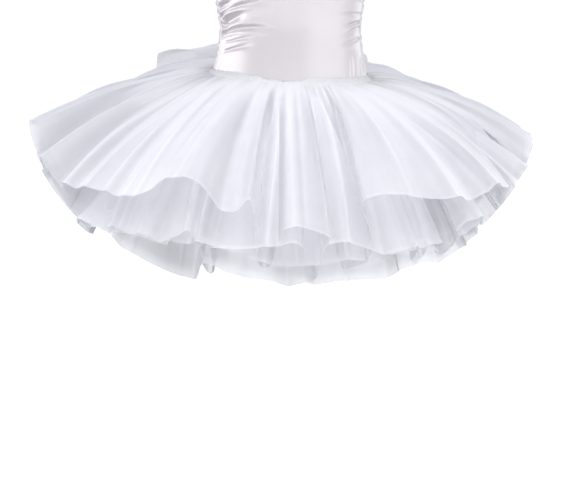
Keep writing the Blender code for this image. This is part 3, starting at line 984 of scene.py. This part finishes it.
class TUTU_OT_make_nets(bpy.types.Operator):
    """Make the five gathered nets of the skirt"""

    bl_idname = "tutu.make_nets"
    bl_label = "Make the nets"

    def execute(self, context):
        sizes = context.scene.tutu_nets
        finish = net_finish(sizes)
        for net in NETS:
            points, cut, marks = net_points(net, sizes)
            piece = sheet_mesh(net[0] + "_sheet", points, True, cut, marks)
            settle(piece, finish, "net", net[0])
        return {"FINISHED"}


# ---- Satin ---------------------------------------------------------------------------------
def trough(off, half_width):
    """Profile of a fold across its run: a trough between two softer lips."""
    share = off / half_width
    return (-np.exp(-share ** 2) + 0.50 * np.exp(-((share + 2.0) / 1.1) ** 2)
            + 0.30 * np.exp(-((share - 2.2) / 1.3) ** 2))


def crease_lift(angle, height, creases, pleats):
    """How far folds raise or sink the satin at angles and heights."""
    lift = np.zeros(np.broadcast(angle, height).shape)
    for angle_1, height_1, angle_2, height_2, angle_3, height_3, half_width, depth in creases:
        along = (angle - angle_1) / (angle_3 - angle_1)
        middle = (angle_2 - angle_1) / (angle_3 - angle_1)
        bend = ((height_2 - height_1) / middle - (height_3 - height_1)) / (middle - 1.0)
        run = height_1 + along * (height_3 - height_1) + along * (along - 1.0) * bend
        slope = (height_3 - height_1) / (radians(angle_3 - angle_1) * SATIN_RADIUS)
        off = (height - run) / (1.0 + slope * slope) ** 0.5
        strength = ramp((along + 0.10) / 0.14) * (1.0 - ramp((along - 0.45) / 0.55))
        spread = half_width * (0.85 + 0.5 * np.clip(along, 0.0, 1.0))
        lift = lift + depth * strength * trough(off, spread)
    for angle_top, height_top, angle_low, half_width, depth in pleats:
        down = (height_top - height) / (height_top - SEAM_HEIGHT)
        off = np.radians(angle - angle_top - (angle_low - angle_top) * down) * SATIN_RADIUS
        lift = lift + depth * ramp(down / 0.5) * trough(off, half_width)
    return lift


def ruching(chance, low, high, seam):
    """Folds of uneven size drawn in along the seam at an angle, between two heights."""
    rows = []
    height = low
    while height < high:
        reach = chance.uniform(16.0, 44.0) * (1.0 if seam > 0.0 else -1.0)
        rise = chance.uniform(0.003, 0.016)
        rows.append((
            seam,
            height,
            seam - 0.5 * reach,
            height + 0.5 * rise + chance.uniform(0.0, 0.003),
            seam - reach,
            height + rise,
            chance.uniform(0.0022, 0.0042),
            chance.uniform(0.0012, 0.0030),
        ))
        height += chance.uniform(0.010, 0.021)
    return tuple(rows)


def panel_points(neck, facing, sizes, creases, pleats):
    """Rows and columns of points on a bodice panel, from its turned-in hem to the waist seam."""
    edge = neck[-1][0] - 0.12
    angle = np.linspace(-edge, edge, sizes.columns)[None]
    top = eased(neck, np.abs(angle), 1)
    share = np.linspace(1.0, 0.0, sizes.rows)[:, None]
    height = SEAM_HEIGHT + (top - SEAM_HEIGHT) * share
    lift = crease_lift(angle, height, creases, pleats)
    from_seam = (edge - np.abs(angle)) * radians(1.0) * SATIN_RADIUS
    free = ramp(from_seam / 0.007) * ramp((top - height) / 0.010)
    welt = 0.0007 * np.exp(-((from_seam - 0.0022) / 0.0013) ** 2)
    welt -= 0.0007 * np.exp(-(from_seam / 0.0009) ** 2)
    channel = -0.0004 * np.exp(-((top - height - sizes.hem_depth) / 0.0010) ** 2)
    outward = SATIN_WALL + lift * free + welt + channel
    turn_down = np.array([1.0, 0.55, 0.12, 0.0])[:, None] * sizes.hem_depth
    turn_out = np.array([0.1, 0.1, 0.2, 0.7])[:, None] * SATIN_WALL
    height = np.concatenate([top - 0.0002 - turn_down, height + 0.0 * angle])
    outward = np.concatenate([turn_out + 0.0 * angle, outward])
    cut = np.stack([np.radians(angle) * SATIN_RADIUS + 0.0 * height, height], -1)
    return on_figure(angle + facing, height, outward), cut


def brief_points(table, side, sizes):
    """Rows and columns of points of half the brief: side 1 is its front and -1 its back."""
    columns, rows = sizes.columns // 2, sizes.rows // 2
    across = np.linspace(-1.0, 1.0, columns)
    upper = rows // 4
    upper_height = np.linspace(SEAM_HEIGHT - 0.0006, table[0][1], upper, endpoint=False)[:, None]
    facing = 0.0 if side > 0.0 else 180.0
    top = on_figure(across[None] * 89.7 * side + facing, upper_height, SATIN_WALL)
    loft = smooth_rows(table, np.linspace(0.0, 1.0, rows - upper))
    centre_y, centre_z, edge_x, edge_y, edge_z = (loft[:, part][:, None] for part in range(5))
    bow = np.cos(across[None] * pi / 2.0)
    x = edge_x * np.sin(across[None] * pi / 2.0)
    y = edge_y + (centre_y - edge_y) * bow
    y = -side * np.maximum(-side * y, 0.0005)
    z = edge_z + (centre_z - edge_z) * bow
    low = hip_drop(np.stack([x, y, z + 0.0 * x], -1))
    points = np.concatenate([top, low])
    blend = upper + 6
    for _ in range(3):
        points[upper - 6:blend] = (points[upper - 7:blend - 1] + points[upper - 6:blend] * 2.0
                                   + points[upper - 5:blend + 1]) / 4.0
    return points


def strap_points(side, sizes):
    """Rings of points round a strap, its middle line, and its outward and sideways directions."""
    route = smooth_rows(STRAP_ROUTE, np.linspace(0.0, 1.0, 160))
    route[:, 0] *= side
    lead = np.gradient(route, axis=0)
    lead /= np.linalg.norm(lead, axis=1)[:, None]
    outward = route - np.array([0.05 * side, 0.0, 0.28])
    outward -= (outward * lead).sum(axis=1)[:, None] * lead
    outward /= np.linalg.norm(outward, axis=1)[:, None]
    across = np.cross(lead, outward)
    turn = np.linspace(0.0, 2.0 * pi, 28, endpoint=False)
    wide = 0.5 * sizes.strap_width * np.sign(np.cos(turn)) * np.abs(np.cos(turn)) ** 0.5
    thick = 0.0009 * np.sign(np.sin(turn)) * np.abs(np.sin(turn)) ** 0.7
    ring = (route[:, None] + across[:, None] * wide[None, :, None]
            + outward[:, None] * thick[None, :, None])
    return ring, route, outward, across


def stitches(name, paths, length, material, slot):
    """Short raised threads in rows along paths, each given as points and outward directions."""
    corners, faces = [], []
    half, wide, tall = 0.32 * length, 0.00022, 0.00030
    for points, outward in paths:
        steps = np.linalg.norm(np.diff(points, axis=0), axis=1)
        run = np.concatenate([[0.0], np.cumsum(steps)])
        places = np.arange(length / 2.0, run[-1], length)
        centre = np.stack([np.interp(places, run, points[:, axis]) for axis in range(3)], -1)
        ahead = np.stack([np.interp(places + 0.0005, run, points[:, axis]) for axis in range(3)], -1)
        out = np.stack([np.interp(places, run, outward[:, axis]) for axis in range(3)], -1)
        out /= np.linalg.norm(out, axis=1)[:, None]
        lead = ahead - centre
        lead /= np.maximum(np.linalg.norm(lead, axis=1), 1e-9)[:, None]
        across = np.cross(out, lead)
        for middle, forward, over, raised in zip(centre, lead, across, out):
            base = len(corners)
            for share, swell in ((-1.0, 0.25), (0.0, 1.0), (1.0, 0.25)):
                at = middle + forward * half * share
                corners.append(at - over * wide * swell - raised * tall * 0.5)
                corners.append(at + raised * tall * swell)
                corners.append(at + over * wide * swell - raised * tall * 0.5)
            for ring in (0, 3):
                for side in range(3):
                    first, second = base + ring + side, base + ring + (side + 1) % 3
                    faces.append((first, second, second + 3, first + 3))
            faces.append((base + 2, base + 1, base))
            faces.append((base + 6, base + 7, base + 8))
    mesh = bpy.data.meshes.new(name)
    mesh.from_pydata([tuple(corner) for corner in corners], [], faces)
    mesh.shade_smooth()
    piece = bpy.data.objects.new(name, mesh)
    bpy.context.scene.collection.objects.link(piece)
    settle(piece, material, slot)
    return piece


def figure_path(angle, height, outward):
    """A path on the figure and its outward directions, for a row of stitches."""
    points = on_figure(angle, height, outward)
    return points, on_figure(angle, height, outward + 0.01) - points


class TUTU_OT_make_bodice(bpy.types.Operator):
    """Make the front and back of the satin bodice"""

    bl_idname = "tutu.make_bodice"
    bl_label = "Make the bodice"

    def execute(self, context):
        sizes = context.scene.tutu_satin
        finish = satin_finish(sizes)
        chance = np.random.default_rng(5)
        front_seam, back_seam = SIDE_SEAM - 1.0, 179.0 - SIDE_SEAM
        front = (FRONT_CREASES + ruching(chance, 0.066, 0.176, -front_seam)
                 + ruching(chance, 0.048, 0.176, front_seam))
        back = ruching(chance, -0.055, 0.170, -back_seam) + ruching(chance, -0.050, 0.170, back_seam)
        panels = (
            ("bodice_front", NECK_FRONT, 0.0, front, FRONT_PLEATS, (0.400, 0.345), 0.098),
            ("bodice_back", NECK_BACK, 180.0, back, (), (0.350, 0.298), 0.088),
        )
        rows = []
        for name, neck, facing, creases, pleats, flat, area in panels:
            points, cut = panel_points(neck, facing, sizes, creases, pleats)
            piece = sheet_mesh(name + "_sheet", points, False, cut)
            settle(piece, finish, "satin", name)
            edge = np.linspace(0.6 - neck[-1][0], neck[-1][0] - 0.6, 400)
            line = eased(neck, np.abs(edge), 1) - sizes.hem_depth
            rows.append(figure_path(edge + facing, line, SATIN_WALL - 0.0002))
            rows.append(figure_path(edge + facing, line + 0.0018, SATIN_WALL))
        for side in (-1.0, 1.0):
            down = np.linspace(0.186, SEAM_HEIGHT + 0.003, 200)
            rows.append(figure_path(side * (SIDE_SEAM - 1.15) + 0.0 * down, down, SATIN_WALL + 0.0006))
            rows.append(figure_path(side * (SIDE_SEAM + 1.10) + 0.0 * down, down, SATIN_WALL + 0.0006))
        stitches("bodice_stitches", rows, sizes.stitch_length, thread_finish(), "satin")
        return {"FINISHED"}


class TUTU_OT_make_briefs(bpy.types.Operator):
    """Make the satin brief under the nets"""

    bl_idname = "tutu.make_briefs"
    bl_label = "Make the brief"

    def execute(self, context):
        sizes = context.scene.tutu_satin
        finish = satin_finish(sizes)
        rows = []
        for name, table, side in (("brief_front", BRIEF_FRONT, 1.0), ("brief_back", BRIEF_BACK, -1.0)):
            points = brief_points(table, side, sizes)
            piece = sheet_mesh(name + "_sheet", points, False)
            settle(piece, finish, "satin", name)
            leg = len(points) // 4
            for column, nearby in ((3, 4), (-4, -5)):
                run = points[leg:, column]
                outward = np.cross(np.gradient(run, axis=0), points[leg:, nearby] - run)
                outward *= np.sign((outward * (run - [0.0, 0.0, -0.16])).sum(axis=1))[:, None]
                rows.append((run, outward))
        stitches("brief_stitches", rows, sizes.stitch_length, thread_finish(), "satin")
        return {"FINISHED"}


class TUTU_OT_make_straps(bpy.types.Operator):
    """Make the two shoulder straps"""

    bl_idname = "tutu.make_straps"
    bl_label = "Make the straps"

    def execute(self, context):
        sizes = context.scene.tutu_satin
        finish = satin_finish(sizes)
        rows = []
        for name, side in (("strap_left", -1.0), ("strap_right", 1.0)):
            ring, centre, outward, across = strap_points(side, sizes)
            piece = sheet_mesh(name + "_sheet", ring, True)
            settle(piece, finish, "satin", name)
            for offset in (-0.34, 0.34):
                rows.append((centre + across * offset * sizes.strap_width + outward * 0.0009, outward))
        stitches("strap_stitches", rows, sizes.stitch_length, thread_finish(), "satin")
        return {"FINISHED"}


def studio_room(sizes):
    """The floor of the studio, and the paper that curves up from it all round."""
    bends = [pi / 2.0 * step / 12.0 for step in range(1, 13)]
    profile = [(FLOOR_RADIUS * step / 8.0, 0.0) for step in range(1, 9)]
    profile += [(FLOOR_RADIUS + CORNER_RADIUS * sin(bend), CORNER_RADIUS * (1.0 - cos(bend)))
                for bend in bends]
    profile.append((FLOOR_RADIUS + CORNER_RADIUS, WALL_TOP))
    angles = np.linspace(0.0, 2.0 * pi, STUDIO_TURNS, endpoint=False)
    rows = [np.stack([radius * np.cos(angles), radius * np.sin(angles),
                      0.0 * angles + height - sizes.floor_drop], -1) for radius, height in profile]
    paper = sheet_mesh("studio_paper", np.stack(rows[::-1]), True)
    centre = sheet_mesh("studio_floor", np.stack([rows[0], rows[0] * [0, 0, 1]]), True)
    finish = studio_finish()
    for piece in (paper, centre):
        piece.data.materials.append(finish)
        piece.visible_diffuse = False


def studio_air():
    """Soft light from all round, stronger from above."""
    world = bpy.data.worlds.new("studio_air")
    world.use_nodes = True
    nodes, links = world.node_tree.nodes, world.node_tree.links
    air = nodes["Background"]
    air.inputs["Color"].default_value = (0.88, 0.905, 0.98, 1.0)
    way = nodes.new("ShaderNodeTexCoord")
    split = nodes.new("ShaderNodeSeparateXYZ")
    height = nodes.new("ShaderNodeMapRange")
    height.inputs["From Min"].default_value = -0.3
    height.inputs["To Min"].default_value = 0.13
    height.inputs["To Max"].default_value = 0.76
    links.new(way.outputs["Generated"], split.inputs[0])
    links.new(split.outputs["Z"], height.inputs["Value"])
    links.new(height.outputs["Result"], air.inputs["Strength"])
    return world


def studio_lamp(name, place, target, width, height, power, colour):
    """A softbox, or a card that only shows in shine."""
    light = bpy.data.lights.new(name, "AREA")
    light.shape = "RECTANGLE"
    light.size = width
    light.size_y = height
    light.energy = power
    light.color = colour
    lamp = bpy.data.objects.new(name, light)
    lamp.location = place
    lamp.rotation_mode = "QUATERNION"
    lamp.rotation_quaternion = (Vector(target) - Vector(place)).to_track_quat("-Z", "Y")
    lamp.visible_diffuse = name.endswith("softbox")
    lamp.visible_glossy = name.endswith("card")
    return lamp


def studio_camera(sizes):
    """The camera in front of the tutu, looking a little down."""
    view = bpy.data.cameras.new("camera")
    view.lens = sizes.camera_lens
    view.sensor_width = 36.0
    camera = bpy.data.objects.new("camera", view)
    camera.location = (-0.0079, -sizes.camera_distance, sizes.camera_rise)
    camera.rotation_euler = (pi / 2.0 - sizes.camera_pitch, 0.0, 0.0)
    return camera


class TUTU_OT_make_stage(bpy.types.Operator):
    """Make the pale studio, its lights and the camera"""

    bl_idname = "tutu.make_stage"
    bl_label = "Make the studio"

    def execute(self, context):
        sizes = context.scene.tutu_stage
        scene = context.scene
        studio_room(sizes)
        scene.world = studio_air()
        for row in LAMPS:
            scene.collection.objects.link(studio_lamp(*row))
        scene.camera = studio_camera(sizes)
        scene.collection.objects.link(scene.camera)
        scene.view_settings.view_transform = "Standard"
        scene.cycles.transparent_max_bounces = 64
        scene.cycles.max_bounces = 16
        scene.cycles.diffuse_bounces = 10
        return {"FINISHED"}


class TUTU_PT_maker(bpy.types.Panel):
    """The tutu's pieces in the 3D view's sidebar"""

    bl_idname = "TUTU_PT_maker"
    bl_label = "Ballet tutu"
    bl_space_type = "VIEW_3D"
    bl_region_type = "UI"
    bl_category = "Tutu"

    def draw(self, context):
        layout = self.layout
        for maker in MAKERS:
            layout.operator(maker.bl_idname)
        for settings in (context.scene.tutu_nets, context.scene.tutu_satin, context.scene.tutu_stage):
            box = layout.box()
            for name in settings.__annotations__:
                box.prop(settings, name)


MAKERS = (TUTU_OT_make_bodice, TUTU_OT_make_briefs, TUTU_OT_make_straps, TUTU_OT_make_nets,
          TUTU_OT_make_stage)
CLASSES = (NetSizes, SatinSizes, StageSizes) + MAKERS + (TUTU_PT_maker,)


def register():
    """Register the classes and hang the settings on the scene."""
    for item in CLASSES:
        bpy.utils.register_class(item)
    bpy.types.Scene.tutu_nets = PointerProperty(type=NetSizes)
    bpy.types.Scene.tutu_satin = PointerProperty(type=SatinSizes)
    bpy.types.Scene.tutu_stage = PointerProperty(type=StageSizes)


def unregister():
    """Take the settings and the classes away again."""
    del bpy.types.Scene.tutu_stage
    del bpy.types.Scene.tutu_satin
    del bpy.types.Scene.tutu_nets
    for item in reversed(CLASSES):
        bpy.utils.unregister_class(item)


def main():
    """Make every piece."""
    register()
    for maker in MAKERS:
        group, name = maker.bl_idname.split(".")
        getattr(getattr(bpy.ops, group), name)()


if __name__ == "__main__":
    main()
